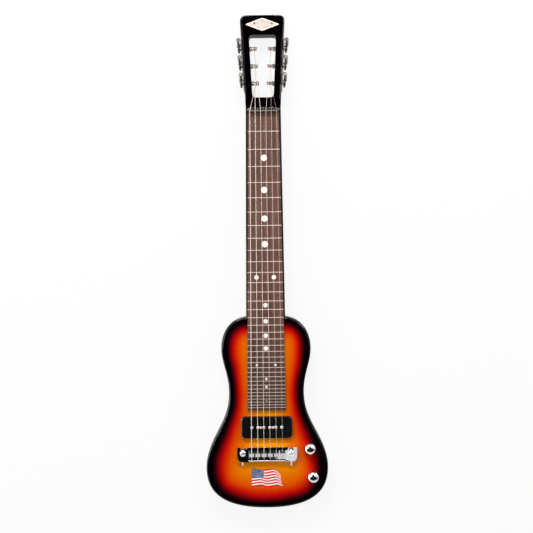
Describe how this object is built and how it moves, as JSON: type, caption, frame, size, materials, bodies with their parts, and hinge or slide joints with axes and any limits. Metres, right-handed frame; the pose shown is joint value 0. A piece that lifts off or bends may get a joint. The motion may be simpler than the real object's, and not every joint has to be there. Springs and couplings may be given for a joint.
{
  "type": "lap steel guitar",
  "caption": "Slim electric lap steel guitar with a waisted body, slotted headstock, flush position lines, pickup, bridge with saddles and control knobs.",
  "frame": {"origin": "under the middle of the guitar, on the surface that its back rests on", "axes": "+Y along the strings towards the headstock, +X towards the treble side and its knobs, +Z out of the playing face"},
  "size_m": [0.2052, 0.833, 0.055],
  "materials": {
    "sunburst_lacquer": "gloss lacquer, orange to red to black sunburst",
    "rosewood": "open-grained, satin",
    "chrome": "polished plate",
    "steel": "bright steel",
    "plain_string": "plain wire",
    "wound_string": "wound wire",
    "cream_plastic": "raised rim",
    "black_plastic": "satin black",
    "coil_wire": "wound coil on bobbin"
  },
  "bodies": {
    "guitar": {"body": "sunburst_lacquer", "fretboard": "rosewood", "nut": "chrome", "nut_screw_bass": "steel", "nut_screw_treble": "steel", "nameplate": "cream_plastic", "pickup_cover": "black_plastic", "pickup_coil": "coil_wire", "pickup_chassis": "steel", "pickup_pole_screws": "steel", "pickup_screw_bass": "steel", "pickup_screw_treble": "steel", "bridge_bar": "chrome", "bridge_stud_bass": "chrome", "stud_bushing_bass": "steel", "bridge_set_screw_bass": "chrome", "tuner_plate_bass": "chrome", "bridge_stud_treble": "chrome", "stud_bushing_treble": "steel", "bridge_set_screw_treble": "chrome", "tuner_plate_treble": "chrome", "pot_volume": "steel", "pot_tone": "steel", "control_cover": "black_plastic", "jack_plate": "chrome", "jack_socket": "steel", "string_1": "plain_string", "string_2": "plain_string", "string_3": "plain_string", "string_4": "wound_string", "string_5": "wound_string", "string_6": "wound_string"},
    "volume_control": {"knob_volume": "chrome", "pot_shaft_volume": "steel"},
    "tone_control": {"knob_tone": "chrome", "pot_shaft_tone": "steel"},
    "tuner_1": {"tuner_button_1": "chrome"},
    "post_1": {"string_post_1": "chrome"},
    "tuner_2": {"tuner_button_2": "chrome"},
    "post_2": {"string_post_2": "chrome"},
    "tuner_3": {"tuner_button_3": "chrome"},
    "post_3": {"string_post_3": "chrome"},
    "tuner_4": {"tuner_button_4": "chrome"},
    "post_4": {"string_post_4": "chrome"},
    "tuner_5": {"tuner_button_5": "chrome"},
    "post_5": {"string_post_5": "chrome"},
    "tuner_6": {"tuner_button_6": "chrome"},
    "post_6": {"string_post_6": "chrome"},
    "saddle_1": {"saddle_1": "chrome"},
    "saddle_screw_1": {"saddle_screw_1": "steel"},
    "saddle_2": {"saddle_2": "chrome"},
    "saddle_screw_2": {"saddle_screw_2": "steel"},
    "saddle_3": {"saddle_3": "chrome"},
    "saddle_screw_3": {"saddle_screw_3": "steel"},
    "saddle_4": {"saddle_4": "chrome"},
    "saddle_screw_4": {"saddle_screw_4": "steel"},
    "saddle_5": {"saddle_5": "chrome"},
    "saddle_screw_5": {"saddle_screw_5": "steel"},
    "saddle_6": {"saddle_6": "chrome"},
    "saddle_screw_6": {"saddle_screw_6": "steel"}
  },
  "joints": [
    {"name": "volume_turn", "type": "hinge", "parent": "guitar", "child": "volume_control", "pos_m": [0.07213, -0.3162, 0.05], "axis": [0, 0, 1], "range_deg": [-150, 150]},
    {"name": "tone_turn", "type": "hinge", "parent": "guitar", "child": "tone_control", "pos_m": [0.07693, -0.3636, 0.05], "axis": [0, 0, 1], "range_deg": [-150, 150]},
    {"name": "button_1_turn", "type": "hinge", "parent": "guitar", "child": "tuner_1", "pos_m": [0.03713, 0.30867, 0.021], "axis": [0, 0, 1], "continuous": true},
    {"name": "post_1_turn", "type": "hinge", "parent": "guitar", "child": "post_1", "pos_m": [0.03199, 0.3011, 0.021], "axis": [0.9984, -0.0572, 0], "continuous": true},
    {"name": "button_2_turn", "type": "hinge", "parent": "guitar", "child": "tuner_2", "pos_m": [0.03881, 0.33807, 0.021], "axis": [0, 0, 1], "continuous": true},
    {"name": "post_2_turn", "type": "hinge", "parent": "guitar", "child": "post_2", "pos_m": [0.03367, 0.3305, 0.021], "axis": [0.9984, -0.0572, 0], "continuous": true},
    {"name": "button_3_turn", "type": "hinge", "parent": "guitar", "child": "tuner_3", "pos_m": [0.0405, 0.36747, 0.021], "axis": [0, 0, 1], "continuous": true},
    {"name": "post_3_turn", "type": "hinge", "parent": "guitar", "child": "post_3", "pos_m": [0.03536, 0.3599, 0.021], "axis": [0.9984, -0.0572, 0], "continuous": true},
    {"name": "button_4_turn", "type": "hinge", "parent": "guitar", "child": "tuner_4", "pos_m": [-0.0405, 0.36747, 0.021], "axis": [0, 0, 1], "continuous": true},
    {"name": "post_4_turn", "type": "hinge", "parent": "guitar", "child": "post_4", "pos_m": [-0.03536, 0.3599, 0.021], "axis": [0.9984, 0.0572, 0], "continuous": true},
    {"name": "button_5_turn", "type": "hinge", "parent": "guitar", "child": "tuner_5", "pos_m": [-0.03881, 0.33807, 0.021], "axis": [0, 0, 1], "continuous": true},
    {"name": "post_5_turn", "type": "hinge", "parent": "guitar", "child": "post_5", "pos_m": [-0.03367, 0.3305, 0.021], "axis": [0.9984, 0.0572, 0], "continuous": true},
    {"name": "button_6_turn", "type": "hinge", "parent": "guitar", "child": "tuner_6", "pos_m": [-0.03713, 0.30867, 0.021], "axis": [0, 0, 1], "continuous": true},
    {"name": "post_6_turn", "type": "hinge", "parent": "guitar", "child": "post_6", "pos_m": [-0.03199, 0.3011, 0.021], "axis": [0.9984, 0.0572, 0], "continuous": true},
    {"name": "saddle_screw_1_turn", "type": "hinge", "parent": "guitar", "child": "saddle_screw_1", "pos_m": [0.0259, -0.3223, 0.0476], "axis": [0, 1, 0], "continuous": true},
    {"name": "saddle_1_slide", "type": "slide", "parent": "guitar", "child": "saddle_1", "axis": [0, 1, 0], "range_m": [-0.0015, 0.0015]},
    {"name": "saddle_screw_2_turn", "type": "hinge", "parent": "guitar", "child": "saddle_screw_2", "pos_m": [0.01554, -0.3223, 0.0476], "axis": [0, 1, 0], "continuous": true},
    {"name": "saddle_2_slide", "type": "slide", "parent": "guitar", "child": "saddle_2", "axis": [0, 1, 0], "range_m": [-0.0015, 0.0015]},
    {"name": "saddle_screw_3_turn", "type": "hinge", "parent": "guitar", "child": "saddle_screw_3", "pos_m": [0.00518, -0.3223, 0.0476], "axis": [0, 1, 0], "continuous": true},
    {"name": "saddle_3_slide", "type": "slide", "parent": "guitar", "child": "saddle_3", "axis": [0, 1, 0], "range_m": [-0.0015, 0.0015]},
    {"name": "saddle_screw_4_turn", "type": "hinge", "parent": "guitar", "child": "saddle_screw_4", "pos_m": [-0.00518, -0.3223, 0.0476], "axis": [0, 1, 0], "continuous": true},
    {"name": "saddle_4_slide", "type": "slide", "parent": "guitar", "child": "saddle_4", "axis": [0, 1, 0], "range_m": [-0.0015, 0.0015]},
    {"name": "saddle_screw_5_turn", "type": "hinge", "parent": "guitar", "child": "saddle_screw_5", "pos_m": [-0.01554, -0.3223, 0.0476], "axis": [0, 1, 0], "continuous": true},
    {"name": "saddle_5_slide", "type": "slide", "parent": "guitar", "child": "saddle_5", "axis": [0, 1, 0], "range_m": [-0.0015, 0.0015]},
    {"name": "saddle_screw_6_turn", "type": "hinge", "parent": "guitar", "child": "saddle_screw_6", "pos_m": [-0.0259, -0.3223, 0.0476], "axis": [0, 1, 0], "continuous": true},
    {"name": "saddle_6_slide", "type": "slide", "parent": "guitar", "child": "saddle_6", "axis": [0, 1, 0], "range_m": [-0.0015, 0.0015]}
  ],
  "couplings": [
    {"joint": "post_1_turn", "follows": "button_1_turn", "ratio": -0.071429},
    {"joint": "post_2_turn", "follows": "button_2_turn", "ratio": -0.071429},
    {"joint": "post_3_turn", "follows": "button_3_turn", "ratio": -0.071429},
    {"joint": "post_4_turn", "follows": "button_4_turn", "ratio": -0.071429},
    {"joint": "post_5_turn", "follows": "button_5_turn", "ratio": -0.071429},
    {"joint": "post_6_turn", "follows": "button_6_turn", "ratio": -0.071429},
    {"joint": "saddle_screw_1_turn", "follows": "saddle_1_slide", "rad_per_m": -12566},
    {"joint": "saddle_screw_2_turn", "follows": "saddle_2_slide", "rad_per_m": -12566},
    {"joint": "saddle_screw_3_turn", "follows": "saddle_3_slide", "rad_per_m": -12566},
    {"joint": "saddle_screw_4_turn", "follows": "saddle_4_slide", "rad_per_m": -12566},
    {"joint": "saddle_screw_5_turn", "follows": "saddle_5_slide", "rad_per_m": -12566},
    {"joint": "saddle_screw_6_turn", "follows": "saddle_6_slide", "rad_per_m": -12566}
  ]
}
